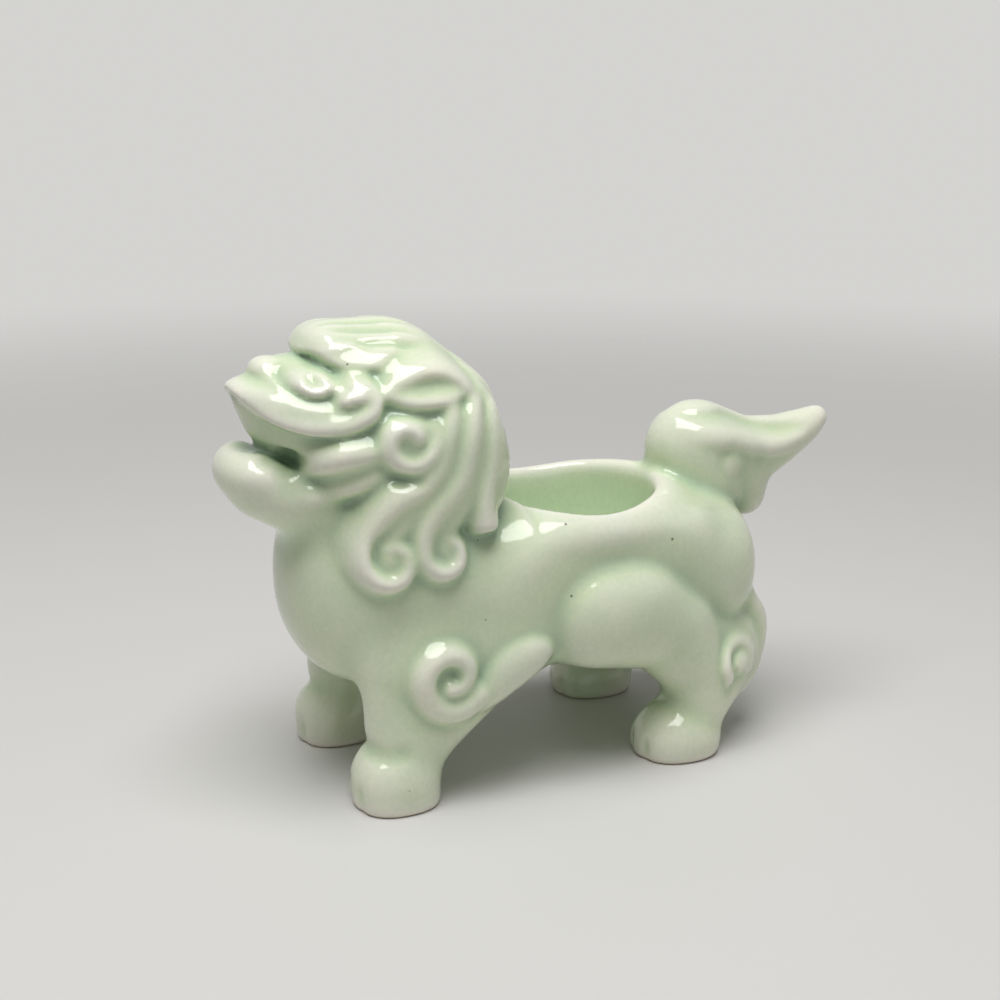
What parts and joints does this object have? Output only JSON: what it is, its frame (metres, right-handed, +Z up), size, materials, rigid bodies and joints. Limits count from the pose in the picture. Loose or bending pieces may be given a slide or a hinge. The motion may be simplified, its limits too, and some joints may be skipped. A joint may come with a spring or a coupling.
{
  "type": "guardian lion candle holder",
  "caption": "Standing ceramic guardian lion with an open mouth, curled mane and swept tail, carrying a round candle well in its back, in pale green celadon glaze.",
  "frame": {"origin": "on the table, below the middle of the figure's length and width", "axes": "+Z up, -X towards the head, -Y towards the lion's left side"},
  "size_m": [0.1617, 0.069, 0.108],
  "materials": {
    "celadon_glaze": "glossy pale green celadon glaze, deeper green where it pools in the creases"
  },
  "bodies": {
    "root": {"torso_shell": "celadon_glaze", "candle_cup": "celadon_glaze", "head_shell": "celadon_glaze", "lower_jaw": "celadon_glaze", "tail": "celadon_glaze", "eye_left": "celadon_glaze", "eye_right": "celadon_glaze", "ear_left": "celadon_glaze", "ear_right": "celadon_glaze", "mane_left": "celadon_glaze", "mane_right": "celadon_glaze", "foreleg_left": "celadon_glaze", "foreleg_right": "celadon_glaze", "hindleg_left": "celadon_glaze", "hindleg_right": "celadon_glaze", "shoulder_scroll_left": "celadon_glaze", "shoulder_scroll_right": "celadon_glaze", "hock_scroll_left": "celadon_glaze", "hock_scroll_right": "celadon_glaze"}
  },
  "joints": []
}
